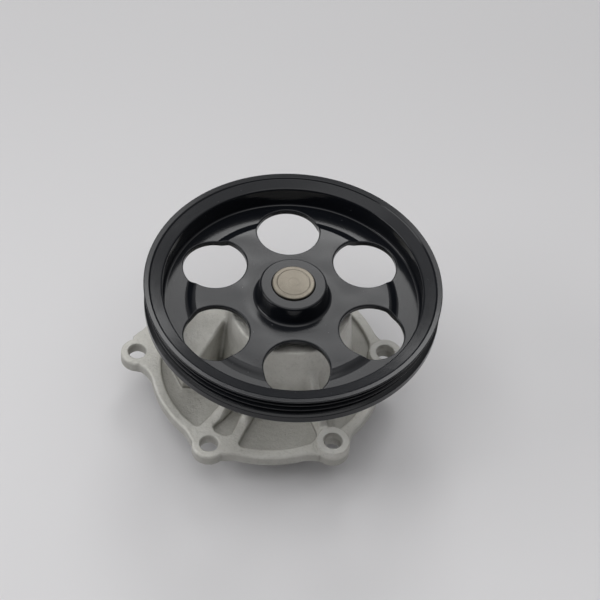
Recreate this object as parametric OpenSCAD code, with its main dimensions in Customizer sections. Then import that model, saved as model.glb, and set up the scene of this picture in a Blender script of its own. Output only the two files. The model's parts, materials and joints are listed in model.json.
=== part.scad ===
// Engine water pump: light-alloy cover casting, integral bearing and shaft,
// face seal, impeller and a poly-V pulley with six round holes.
// Units are millimetres. +Z runs along the shaft towards the pulley.
// The origin is on the shaft axis, in the plane of the casting's mounting face.

/* [Pulley] */
// Radius of the pulley over its two lips
lip_r = 76; // [60:0.5:90]
// Height of the front lip above the mounting face
lip_z = 68; // [60:0.5:80]
// Width of the rim from lip to lip
rim_width = 17.5; // [14:0.5:25]
// Radius over the crests between the belt grooves
crest_r = 74.6; // [58:0.2:88]
// Depth of one belt groove
groove_depth = 2.9; // [2:0.1:3.5]
// Spacing of the belt grooves
groove_pitch = 3.56; // [2.34:0.01:4.7]
// Number of belt grooves
groove_count = 3; // [1:1:4]
// Inner radius of the rim wall
wall_r = 66.3; // [50:0.1:80]
// Outer radius of the conical front ring
ring_r = 72.7; // [55:0.1:86]
// Sheet thickness of the web
web_t = 3.3; // [2:0.1:5]
// Rise of the inner web above the outer flat ring
web_rise = 2.2; // [0:0.1:4]
// Radius of the foot of the web's step
step_foot_r = 54.4; // [45:0.1:60]
// Radius of the top of the web's step
step_top_r = 50.6; // [40:0.1:56]
// Radius of the circle the six holes lie on
hole_circle_r = 45.4; // [38:0.1:50]
// Radius of one hole
hole_r = 16.6; // [10:0.1:20]
// Turn of the hole pattern about the shaft
hole_turn = 3; // [-30:0.5:30]

/* [Pulley hub] */
// Radius of the hub at its front face
hub_top_r = 16.4; // [14:0.1:22]
// Radius of the hub where it meets the web
hub_foot_r = 19.2; // [16:0.1:26]
// Height of the hub's front face above the mounting face
hub_top_z = 66; // [58:0.5:78]

/* [Shaft] */
// Radius of the shaft in the bearing and the hub
shaft_r = 11; // [7:0.1:12]
// Radius of the shaft in the seal and the impeller
tail_r = 8; // [6:0.1:9]
// Height of the shaft's front end
shaft_top_z = 67.2; // [60:0.1:80]
// Height of the shaft's rear end
shaft_end_z = -18.5; // [-30:0.5:-10]
// Height of the shoulder where the shaft steps down
shoulder_z = 12; // [8:0.5:20]

/* [Bearing] */
// Outer radius of the bearing's outer ring
bearing_r = 23.5; // [17:0.1:26]
// Bore radius of the outer ring
race_r = 17.7; // [14:0.1:20]
// Height of the bearing's lower face
bearing_low_z = 13.5; // [10:0.5:20]
// Height of the bearing's upper face
bearing_top_z = 47; // [40:0.5:50]
// Radius of the circle the balls and rollers run on
pitch_r = 14.35; // [12:0.05:17]
// Radius of one ball
ball_r = 3.9; // [2:0.05:5]
// Number of balls
ball_count = 9; // [6:1:11]
// Height of the row of balls
ball_z = 38; // [30:0.5:44]
// Radius of one roller
roller_r = 3.3; // [2:0.05:4]
// Length of one roller
roller_len = 11; // [6:0.5:14]
// Number of rollers
roller_count = 11; // [8:1:12]
// Height of the middle of the row of rollers
roller_z = 22; // [18:0.5:28]

/* [Casting] */
// Radius of the flange's outer edge
flange_r = 62.3; // [50:0.1:75]
// Radius of the inside of the flange's raised border
border_r = 56.8; // [45:0.1:70]
// Thickness of the flange at its border
flange_t = 7; // [5:0.5:12]
// Height of the pocket floors above the mounting face
floor_z = 4; // [3:0.5:8]
// Radius of one fixing ear
ear_r = 8.8; // [7:0.1:12]
// Radius of one fixing hole
bolt_r = 4.8; // [3:0.1:6]
// Height of the two raised spot faces
spot_z = 10.5; // [7:0.5:14]
// Radius of the bearing tower at its foot
tower_foot_r = 35.5; // [30:0.1:40]
// Radius of the bearing tower at its top
tower_top_r = 31; // [28:0.1:36]
// Height of the bearing tower's top face
tower_z = 47.5; // [40:0.5:50]
// Radius of the middle of the gasket groove
gasket_r = 47.8; // [30:0.1:55]
// Height of the flat top of the side block
block_z = 32; // [20:0.5:44]

/* [Impeller] */
// Outer radius of the impeller
impeller_r = 32; // [24:0.5:40]
// Number of impeller vanes
vane_count = 7; // [5:1:9]
// Thickness of one vane
vane_t = 1.8; // [1:0.1:3]

/* [Hidden] */
$fn = 96;
eps = 0.01;
rear_z = lip_z - rim_width;
flat_top_z = rear_z + web_t;
web_top_z = flat_top_z + web_rise;
mid_groove_z = lip_z - 6.8;
groove_root_r = crest_r - groove_depth;
flange_x = -10.6;
flange_y = -4.7;
seal_bore_r = 17.5;
boss_low_z = -4;
left_ear = [-80.3, -1.1];
low_left_ear = [-39.9, -59.1];
low_right_ear = [23.6, -57.2];
right_ear = [52.5, 1.5];
top_ear = [-16, 50];
ears = [left_ear, low_left_ear, low_right_ear, right_ear, top_ear];
spots = [low_right_ear, right_ear];
impeller_low_z = -20;

// Which sub-part to draw

// ---------------------------------------------------------------- casting

module ear_blend(p, w) {
    // A straight web from an ear to the middle of the flange.
    a = atan2(p[1] - flange_y, p[0] - flange_x);
    d = norm([p[0] - flange_x, p[1] - flange_y]);
    translate([flange_x, flange_y])
        rotate(a)
            polygon([[40, -w * 1.55], [d + 0.3, -w * 0.93],
                     [d + 0.3, w * 0.93], [40, w * 1.55]]);
}

module flange_outline() {
    difference() {
        translate([flange_x, flange_y])
            circle(r = flange_r);
        polygon([[-90, 20], [-64, 20], [-57, 33], [-40, 43.5], [-28, 48],
                 [-8, 55], [10, 80], [-90, 80]]);
    }
    // fuller back left corner beside the left ear
    polygon([[-82, 8.6], [-77.3, 15.8], [-68, 27], [-56, 37], [-40, 43.5],
             [-20, 30], [-20, 0], [-72, -4]]);
    for (p = ears) {
        translate(p)
            circle(r = ear_r);
        ear_blend(p, ear_r);
    }
}

module rib_strip(x, y, a, w, len) {
    translate([x, y])
        rotate(a)
            translate([0, -w / 2])
                square([len, w]);
}

module pocket_outline() {
    difference() {
        intersection() {
            translate([flange_x, flange_y])
                circle(r = border_r);
            polygon([[-70, -90], [80, -90], [80, 80], [8, 80], [-2, 44],
                     [-26, 40], [-50, 31], [-64, 18], [-70, -6]]);
        }
        circle(r = tower_foot_r - 0.5);
        block_outline();
        rib_strip(-47, -55.6, 52.1, 6.5, 34);
        rib_strip(-29, -61.2, 68.2, 5.9, 34);
        rib_strip(22.6, -58.5, 111, 6.4, 34);
        rib_strip(-16, 55, -90, 7, 34);
        for (p = ears)
            translate(p)
                circle(r = ear_r + 0.6);
    }
}

module block_outline() {
    polygon([[-20, 30], [-34.4, 20], [-56, 12], [-61, 4], [-60, -12],
             [-55, -22], [-46.4, -22], [-34.4, 2.3], [-20, 10]]);
}

module gusset(x, y, a, w, len, top) {
    // A sloping rib: x, y is its low end, and it climbs to the tower.
    translate([x, y, 0])
        rotate([0, 0, a])
            translate([0, w / 2, 0])
                rotate([90, 0, 0])
                    linear_extrude(height = w)
                        polygon([[-1, flange_t - 2], [0, flange_t + 0.2],
                                 [len, top], [len, flange_t - 2]]);
}

module housing() {
    color([0.72, 0.71, 0.68])
    difference() {
        union() {
            difference() {
                linear_extrude(height = flange_t)
                    flange_outline();
                translate([0, 0, floor_z])
                    linear_extrude(height = flange_t)
                        pocket_outline();
            }
            for (p = spots)
                translate([p[0], p[1], 0])
                    cylinder(r = ear_r + 0.1, h = spot_z);
            translate([0, 0, 1])
                cylinder(r1 = tower_foot_r, r2 = tower_top_r, h = tower_z - 1);
            translate([0, 0, 1])
                linear_extrude(height = block_z - 1)
                    block_outline();
            gusset(20.2, -52.1, 111, 5.4, 26, 38);
            gusset(-36.8, -42.6, 52.1, 5.3, 18, 24);
            gusset(-22.9, -46.2, 68.2, 4.9, 18, 24);
            gusset(-16, 44, -90, 5.8, 18, 30);
            translate([0, 0, boss_low_z])
                cylinder(r = 22.5, h = 6);
        }
        for (p = ears)
            translate([p[0], p[1], -1])
                cylinder(r = bolt_r, h = 20);
        // groove in the mounting face for the rubber gasket
        translate([flange_x, flange_y, -1])
            difference() {
                cylinder(r = gasket_r + 1.4, h = 2.9);
                translate([0, 0, -1])
                    cylinder(r = gasket_r - 1.4, h = 5);
            }
        translate([0, 0, bearing_low_z])
            cylinder(r = bearing_r, h = 60);
        translate([0, 0, 9])
            cylinder(r = 19, h = 10);
        translate([0, 0, boss_low_z - 1])
            cylinder(r = seal_bore_r, h = 9 - boss_low_z + 2);
        // drain drilling from the slinger chamber to the outside
        translate([0, 0, 11])
            rotate([0, 90, 62])
                cylinder(r = 2.2, h = 50);
        // air hole above the drain drilling
        rotate([0, 0, 62])
            translate([27.5, 0, 0])
                cylinder(r = 1.6, h = 10);
    }
}

module face_gasket() {
    // Rubber ring pressed into the groove in the mounting face.
    color([0.1, 0.1, 0.1])
        translate([flange_x, flange_y, 0])
            rotate_extrude()
                polygon([[gasket_r - 1.3, 0.4], [gasket_r - 0.8, 0],
                         [gasket_r + 0.8, 0], [gasket_r + 1.3, 0.4],
                         [gasket_r + 1.4, 1.9], [gasket_r - 1.4, 1.9]]);
}

module drain_plug() {
    // Cup plug that closes the outer end of the drain drilling.
    color([0.6, 0.6, 0.58])
        translate([0, 0, 11])
            rotate([0, 90, 62])
                translate([0, 0, 31.2])
                    difference() {
                        cylinder(r = 2.2, h = 2.8);
                        translate([0, 0, 0.8])
                            cylinder(r = 1.5, h = 3);
                    }
}

// ----------------------------------------------------------------- pulley

module groove_cut(z) {
    half = groove_pitch / 2 - 0.25;
    rotate_extrude()
        polygon([[lip_r + 1, z - half - 0.6], [crest_r, z - half],
                 [groove_root_r, z - 0.45], [groove_root_r, z + 0.45],
                 [crest_r, z + half], [lip_r + 1, z + half + 0.6]]);
}

module pulley_rim() {
    band = groove_count * groove_pitch / 2;
    color([0.05, 0.05, 0.055])
    difference() {
        rotate_extrude()
            polygon([
                [wall_r, rear_z], [lip_r - 1.4, rear_z], [lip_r - 0.4, rear_z + 0.5],
                [lip_r - 0.1, rear_z + 1.4], [lip_r - 0.1, mid_groove_z - band - 0.9],
                [lip_r - 0.5, mid_groove_z - band - 0.3],
                [crest_r, mid_groove_z - band + 0.2],
                [crest_r, mid_groove_z + band - 0.2],
                [lip_r - 0.3, mid_groove_z + band + 0.1],
                [lip_r, lip_z - 1.2], [lip_r - 0.4, lip_z - 0.4],
                [lip_r - 1.2, lip_z], [ring_r + 1.2, lip_z],
                [ring_r + 0.3, lip_z - 0.5], [ring_r, lip_z - 1.2],
                [wall_r + 0.9, lip_z - 2.3], [wall_r + 0.2, lip_z - 2.7],
                [wall_r, lip_z - 3.4]
            ]);
        for (i = [0 : groove_count - 1])
            groove_cut(mid_groove_z + (i - (groove_count - 1) / 2) * groove_pitch);
    }
}

module pulley_web() {
    color([0.05, 0.05, 0.055])
    difference() {
        rotate_extrude()
            polygon([
                [shaft_r + 4, rear_z + web_rise],
                [step_top_r - 2.6, rear_z + web_rise],
                [step_foot_r - 3, rear_z + 0.3],
                [step_foot_r - 1.5, rear_z],
                [wall_r, rear_z],
                [wall_r, flat_top_z + 3.2],
                [wall_r - 0.5, flat_top_z + 1.5],
                [wall_r - 1.5, flat_top_z + 0.5],
                [wall_r - 3.2, flat_top_z],
                [step_foot_r, flat_top_z],
                [step_foot_r - 0.5, flat_top_z + 1.1],
                [step_foot_r - 1.5, flat_top_z + 1.8],
                [step_top_r - 0.6, web_top_z],
                [shaft_r + 4, web_top_z]
            ]);
        for (i = [0 : 5])
            rotate([0, 0, 60 * i + 30 + hole_turn])
                translate([hole_circle_r, 0, rear_z - 5])
                    cylinder(r = hole_r, h = 20);
    }
}

module pulley_hub() {
    hub_low_z = rear_z - 1.2;
    color([0.05, 0.05, 0.055])
        rotate_extrude()
            difference() {
                polygon([
                    [shaft_r, hub_low_z], [hub_foot_r - 1, hub_low_z],
                    [hub_foot_r, hub_low_z + 1], [hub_foot_r, rear_z + web_rise],
                    [shaft_r + 4, rear_z + web_rise], [shaft_r + 4, web_top_z],
                    [hub_foot_r + 2, web_top_z], [hub_foot_r + 0.9, web_top_z + 0.4],
                    [hub_foot_r, web_top_z + 1.6],
                    [hub_top_r + 0.9, hub_top_z - 1.2],
                    [hub_top_r + 0.5, hub_top_z - 0.35],
                    [hub_top_r - 0.4, hub_top_z],
                    [shaft_r + 0.5, hub_top_z], [shaft_r, hub_top_z - 0.5]
                ]);
            }
}

// ------------------------------------------------------ shaft and bearing

module shaft() {
    color([0.75, 0.73, 0.68])
    difference() {
        rotate_extrude()
            polygon([
                [0, shaft_end_z], [tail_r - 0.8, shaft_end_z],
                [tail_r, shaft_end_z + 0.8], [tail_r, shoulder_z],
                [shaft_r, shoulder_z], [shaft_r, shaft_top_z - 0.6],
                [shaft_r - 0.6, shaft_top_z], [0, shaft_top_z]
            ]);
        // ball groove
        rotate_extrude()
            translate([pitch_r, ball_z])
                circle(r = ball_r + 0.06);
        // faint turned rings on the end face
        translate([0, 0, shaft_top_z - 0.15])
            difference() {
                cylinder(r = 8.6, h = 1);
                cylinder(r = 8.3, h = 3, center = true);
            }
    }
}

module bearing_outer_ring() {
    color([0.62, 0.62, 0.63])
    difference() {
        rotate_extrude()
            polygon([
                [race_r, bearing_low_z], [bearing_r - 0.8, bearing_low_z],
                [bearing_r, bearing_low_z + 0.8], [bearing_r, bearing_top_z - 0.8],
                [bearing_r - 0.8, bearing_top_z], [race_r, bearing_top_z]
            ]);
        rotate_extrude()
            translate([pitch_r, ball_z])
                circle(r = ball_r + 0.06);
    }
}

module bearing_balls() {
    color([0.8, 0.8, 0.82])
        for (i = [0 : ball_count - 1])
            rotate([0, 0, i * 360 / ball_count])
                translate([pitch_r, 0, ball_z])
                    sphere(r = ball_r, $fn = 32);
}

module ball_cage() {
    color([0.85, 0.82, 0.7])
    difference() {
        translate([0, 0, ball_z - 5.2])
            cylinder(r = 15.9, h = 10.4);
        translate([0, 0, ball_z - 8])
            cylinder(r = 12.9, h = 16);
        for (i = [0 : ball_count - 1])
            rotate([0, 0, i * 360 / ball_count])
                translate([pitch_r, 0, ball_z - ball_r - 0.1])
                    cylinder(r = ball_r + 0.12, h = 2 * ball_r + 0.2, $fn = 48);
    }
}

module bearing_rollers() {
    color([0.8, 0.8, 0.82])
        for (i = [0 : roller_count - 1])
            rotate([0, 0, i * 360 / roller_count])
                translate([pitch_r, 0, roller_z - roller_len / 2])
                    cylinder(r = roller_r, h = roller_len, $fn = 48);
}

module roller_cage() {
    color([0.85, 0.82, 0.7])
    difference() {
        translate([0, 0, roller_z - roller_len / 2 - 1.6])
            cylinder(r = 15.9, h = roller_len + 3.2);
        translate([0, 0, roller_z - 20])
            cylinder(r = 12.9, h = 40);
        for (i = [0 : roller_count - 1])
            rotate([0, 0, i * 360 / roller_count])
                translate([pitch_r, 0, roller_z - roller_len / 2 - 0.1])
                    cylinder(r = roller_r + 0.12, h = roller_len + 0.2, $fn = 48);
    }
}

module front_bearing_seal() {
    color([0.12, 0.12, 0.12])
        rotate_extrude()
            polygon([
                [shaft_r + 0.35, 45.2], [shaft_r + 1.4, 43.8], [shaft_r + 2, 44.6],
                [race_r, 44.6], [race_r, 46.4], [shaft_r + 1.2, 46.4],
                [shaft_r + 0.35, 45.9]
            ]);
}

module rear_bearing_seal() {
    color([0.12, 0.12, 0.12])
        rotate_extrude()
            polygon([
                [shaft_r + 0.35, 14.6], [shaft_r + 1.2, 14], [race_r, 14],
                [race_r, 14.8], [shaft_r + 2, 14.8], [shaft_r + 1.4, 15.4],
                [shaft_r + 0.35, 15.2]
            ]);
}

module slinger() {
    color([0.7, 0.7, 0.7])
        rotate_extrude()
            polygon([
                [tail_r, 9.4], [tail_r + 1.2, 9.4], [tail_r + 1.2, 10.8],
                [15, 10.8], [16.4, 9.8], [17, 10.4], [15.6, 11.9], [tail_r, 11.9]
            ]);
}

// -------------------------------------------------------------- face seal

module seal_case() {
    color([0.72, 0.58, 0.32])
        rotate_extrude()
            polygon([
                [16.6, boss_low_z - 0.9], [20, boss_low_z - 0.9], [20, boss_low_z],
                [seal_bore_r, boss_low_z], [seal_bore_r, 7], [9.2, 7], [9.2, 6.2],
                [16.6, 6.2]
            ]);
}

module seal_bellows() {
    color([0.1, 0.1, 0.1])
        rotate_extrude()
            polygon([
                [9.2, 6.1], [9.2, 3.4], [10, 2.6], [9.2, 1.8], [9.2, -2.4],
                [9.2, -3.4], [14.4, -3.4], [14.4, -2.5], [10.5, -2.5],
                [10.5, 1.2], [11.3, 2.6], [10.5, 4], [10.5, 5.2], [16.4, 5.2],
                [16.4, 6.1]
            ]);
}

module seal_spring() {
    // Flat-wire wave spring: four turns that touch through short crests, a
    // sixth of a turn apart from one gap to the next.
    wire = 1.3;
    mean = 13.4;
    thick = 0.7;
    rise = 1.9;
    z0 = -1.4;
    color([0.75, 0.75, 0.76]) {
        for (i = [0 : 3])
            rotate_extrude()
                translate([mean - wire / 2, z0 + i * rise])
                    square([wire, thick]);
        for (i = [0 : 2])
            for (j = [0 : 2])
                rotate([0, 0, i * 60 + j * 120])
                    translate([mean - 0.45, -1, z0 + i * rise + thick / 2])
                        cube([0.9, 2, rise]);
    }
}

module spring_collar() {
    color([0.75, 0.75, 0.76])
        rotate_extrude()
            polygon([[11, -2.4], [15.4, -2.4], [15.4, -0.4], [14.8, -0.4],
                     [14.8, -1.8], [11, -1.8]]);
}

module carbon_ring() {
    color([0.15, 0.15, 0.16])
        rotate_extrude()
            polygon([[9.4, -3.5], [14.2, -3.5], [14.2, -5.6], [12.8, -6.4],
                     [12.8, -8], [9.8, -8], [9.8, -6.2], [9.4, -5.8]]);
}

module ceramic_seat() {
    color([0.9, 0.88, 0.82])
        rotate_extrude()
            polygon([[9.6, -8.3], [14.6, -8.3], [14.6, -11.8], [9.6, -11.8]]);
}

module seat_cup() {
    color([0.1, 0.1, 0.1])
        rotate_extrude()
            polygon([[tail_r, -13], [16, -13], [16, -9], [14.6, -9],
                     [14.6, -11.8], [9.6, -11.8], [9.6, -9.6], [tail_r, -9.6]]);
}

// --------------------------------------------------------------- impeller

module impeller_hub() {
    color([0.55, 0.55, 0.56])
        rotate_extrude()
            polygon([[tail_r, -18], [13, -18], [13, -14.6], [17.2, -13.6],
                     [17.2, -9.4], [16, -9.4], [16, -13], [tail_r, -13]]);
}

module vane_outline() {
    intersection() {
        difference() {
            circle(r = impeller_r - 0.2);
            circle(r = 17.6);
        }
        translate([13.5, 21])
            difference() {
                circle(r = 19.4 + vane_t / 2);
                circle(r = 19.4 - vane_t / 2);
            }
        translate([8, -20])
            square([40, 34]);
    }
}

module impeller_disc() {
    color([0.6, 0.6, 0.61])
    union() {
        difference() {
            translate([0, 0, impeller_low_z])
                cylinder(r = impeller_r, h = 2);
            translate([0, 0, impeller_low_z - 1])
                cylinder(r = tail_r + 1, h = 5);
        }
        for (i = [0 : vane_count - 1])
            rotate([0, 0, i * 360 / vane_count])
                translate([0, 0, impeller_low_z + 1])
                    linear_extrude(height = 12.4)
                        vane_outline();
    }
}

housing();
drain_plug();
face_gasket();
pulley_rim();
pulley_web();
pulley_hub();
shaft();
bearing_outer_ring();
bearing_balls();
ball_cage();
bearing_rollers();
roller_cage();
front_bearing_seal();
rear_bearing_seal();
slinger();
seal_case();
seal_bellows();
seal_spring();
spring_collar();
carbon_ring();
ceramic_seat();
seat_cup();
impeller_hub();
impeller_disc();
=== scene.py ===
"""Engine water pump: the shapes that show, their finishes, the studio and the camera.

Shapes are worked out with numpy in millimetres, in the frame of the CAD: +Z runs
along the shaft towards the pulley and the origin lies on the shaft axis, in the
plane of the casting's mounting face. They become metres when a mesh is made.
"""
import json
import logging
import math
from dataclasses import dataclass
from enum import Enum
from typing import Any, Callable, ClassVar, Union

import bpy
import numpy as np
from mathutils import Matrix, Vector


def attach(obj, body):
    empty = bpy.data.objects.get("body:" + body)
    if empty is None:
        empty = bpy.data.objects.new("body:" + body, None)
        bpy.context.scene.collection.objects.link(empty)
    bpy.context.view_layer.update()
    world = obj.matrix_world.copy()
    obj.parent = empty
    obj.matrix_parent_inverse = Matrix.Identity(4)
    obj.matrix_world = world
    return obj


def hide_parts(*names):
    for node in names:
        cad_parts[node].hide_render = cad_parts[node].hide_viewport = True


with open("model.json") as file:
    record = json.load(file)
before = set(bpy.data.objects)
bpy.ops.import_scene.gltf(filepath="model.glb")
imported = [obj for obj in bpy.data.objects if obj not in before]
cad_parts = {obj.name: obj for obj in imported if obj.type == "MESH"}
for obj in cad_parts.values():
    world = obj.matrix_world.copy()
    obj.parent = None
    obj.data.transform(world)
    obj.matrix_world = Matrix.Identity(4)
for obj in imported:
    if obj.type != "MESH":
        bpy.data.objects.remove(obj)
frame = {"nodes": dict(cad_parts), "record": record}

LOG = logging.getLogger("water_pump")
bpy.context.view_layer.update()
MM = 0.001
PAST_END = 99.0  # a height in millimetres that lies beyond either end of the casting
Colour = tuple[float, float, float]
Value = Union["Signal", float]
Band = tuple[float, float]
Point = tuple[float, float]
Outline = tuple[Point, ...]


class Body(Enum):
    """The bodies that a piece can ride on."""

    CASTING = "pump_body"
    ROTOR = "rotor"


class Slot(Enum):
    """The material slots of the record."""

    CAST_ALLOY = "cast_alloy"
    BLACK_COAT = "black_coat"
    SHAFT_STEEL = "shaft_steel"
    BEARING_STEEL = "bearing_steel"
    BALL_STEEL = "ball_steel"
    CAGE_PLASTIC = "cage_plastic"
    SEAL_RUBBER = "seal_rubber"
    BELLOWS_RUBBER = "bellows_rubber"
    GASKET_RUBBER = "gasket_rubber"
    PLATED_STEEL = "plated_steel"
    SEAL_BRASS = "seal_brass"
    SPRING_STEEL = "spring_steel"
    CARBON = "carbon"
    CERAMIC_WHITE = "ceramic_white"
    IMPELLER_STEEL = "impeller_steel"


# ------------------------------------------------------------ shader arithmetic


class Signal:
    """A node's output socket that takes part in Python arithmetic."""

    def __init__(self, book: "NodeBook", socket: bpy.types.NodeSocket) -> None:
        """Keeps the socket and the node book that it belongs to."""
        self.book = book
        self.socket = socket

    def _maths(self, operation: str, first: Value, second: Value) -> "Signal":
        """Adds one Math node.

        Args:
            operation: the Math node's operation.
            first: the upper input.
            second: the lower input.

        Returns:
            The node's output.
        """
        return self.book.add(
            "ShaderNodeMath", {"operation": operation}, {0: first, 1: second}
        )

    def __add__(self, other: Value) -> "Signal":
        """Sum, with the signal on either side."""
        return self._maths("ADD", self, other)

    __radd__ = __add__

    def __mul__(self, other: Value) -> "Signal":
        """Product, with the signal on either side."""
        return self._maths("MULTIPLY", self, other)

    __rmul__ = __mul__

    def __sub__(self, other: Value) -> "Signal":
        """Difference."""
        return self._maths("SUBTRACT", self, other)

    def __rsub__(self, other: Value) -> "Signal":
        """Difference with the signal on the right."""
        return self._maths("SUBTRACT", other, self)

    def __lt__(self, other: Value) -> "Signal":
        """One where the signal is below the other value, and zero elsewhere."""
        return self._maths("LESS_THAN", self, other)

    def __gt__(self, other: Value) -> "Signal":
        """One where the signal is above the other value, and zero elsewhere."""
        return self._maths("GREATER_THAN", self, other)

    def ramp(self, low: float, high: float, start: float = 0.0, end: float = 1.0) -> "Signal":
        """Smooth step.

        Args:
            low: the value that gives start.
            high: the value that gives end.
            start: the result at and before low.
            end: the result at and after high.

        Returns:
            The stepped signal.
        """
        return self.book.add(
            "ShaderNodeMapRange",
            {"interpolation_type": "SMOOTHSTEP"},
            {0: self, 1: low, 2: high, 3: start, 4: end},
        )


class NodeBook:
    """The node tree of one material, or of the world, written as expressions."""

    def __init__(self, name: str, tree: Union[bpy.types.NodeTree, None] = None) -> None:
        """Starts an empty tree: the one given, or that of a new material.

        Args:
            name: the new material's name.
            tree: a tree to write instead, such as the world's.
        """
        if tree is None:
            self.material = bpy.data.materials.new(name)
            self.material.use_nodes = True
            tree = self.material.node_tree
        self.tree = tree
        self.tree.nodes.clear()

    def add(
        self,
        kind: str,
        settings: dict[str, Any],
        inputs: dict[Union[int, str], Any],
        output: Union[int, str] = 0,
    ) -> Signal:
        """Adds any node, with its settings first and then its inputs.

        Args:
            kind: the node's type.
            settings: attributes to set, by name.
            inputs: numbers, tuples or signals, by socket name or place.
            output: name or place of the output to hand back.

        Returns:
            That output as a signal.
        """
        node = self.tree.nodes.new(kind)
        for key, setting in settings.items():
            setattr(node, key, setting)
        for key, given in inputs.items():
            if isinstance(given, Signal):
                self.tree.links.new(given.socket, node.inputs[key])
            else:
                node.inputs[key].default_value = given
        outlet = node.outputs[output] if len(node.outputs) else None
        return Signal(self, outlet)

    def place(self) -> Signal:
        """The point of the surface in the piece's own space, in metres."""
        return self.add("ShaderNodeTexCoord", {}, {}, "Object")

    def axis(self, vector: Signal, name: str) -> Signal:
        """One coordinate, X, Y or Z, of a vector."""
        return self.add("ShaderNodeSeparateXYZ", {}, {0: vector}, name)

    def noise(
        self, where: Signal, scale: float, detail: float = 3.0, rough: float = 0.5
    ) -> Signal:
        """Fractal noise.

        Args:
            where: the point.
            scale: features per metre.
            detail: octaves.
            rough: share that each finer octave keeps.

        Returns:
            Noise about 0.5.
        """
        return self.add(
            "ShaderNodeTexNoise",
            {},
            {"Vector": where, "Scale": scale, "Detail": detail, "Roughness": rough},
        )

    def radius(self, where: Signal, centre: Colour = (0.0, 0.0, 0.0)) -> Signal:
        """Distance of a point from the line through centre along Z, in metres.

        Args:
            where: the point.
            centre: a point of the line.

        Returns:
            The distance.
        """
        flat = self.add(
            "ShaderNodeVectorMath",
            {"operation": "MULTIPLY_ADD"},
            {0: where, 1: (1.0, 1.0, 0.0), 2: (-centre[0], -centre[1], 0.0)},
        )
        return self.add(
            "ShaderNodeVectorMath", {"operation": "LENGTH"}, {0: flat}, "Value"
        )

    def blend(self, share: Value, first: Any, second: Any) -> Signal:
        """Mixes two colours.

        Args:
            share: how much of the second.
            first: colour or signal.
            second: colour or signal.

        Returns:
            The mixed colour.
        """
        sockets = [c if isinstance(c, Signal) else (*c, 1.0) for c in (first, second)]
        return self.add(
            "ShaderNodeMix",
            {"data_type": "RGBA"},
            {0: share, 6: sockets[0], 7: sockets[1]},
            2,
        )

    def relief(self, height: Signal, depth: float, strength: float = 1.0) -> Signal:
        """Bumps the normal.

        Args:
            height: signal whose unit stands for depth.
            depth: metres.
            strength: share of the effect.

        Returns:
            The new normal.
        """
        return self.add(
            "ShaderNodeBump",
            {},
            {"Strength": strength, "Distance": depth, "Height": height},
        )

    def surface(self, **sockets: Any) -> bpy.types.Material:
        """Closes the tree with one Principled shader.

        Args:
            **sockets: Principled inputs, with _ for the spaces of their names.

        Returns:
            The finished material.
        """
        named = {key.replace("_", " "): given for key, given in sockets.items()}
        shader = self.add("ShaderNodeBsdfPrincipled", {}, named, "BSDF")
        self.add("ShaderNodeOutputMaterial", {}, {"Surface": shader})
        return self.material


# -------------------------------------------------------------------- finishes


@dataclass(frozen=True)
class Finish:
    """A surface finish that can be made into a material."""

    name: str

    def make(self) -> bpy.types.Material:
        """Makes the material."""
        raise NotImplementedError


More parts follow.
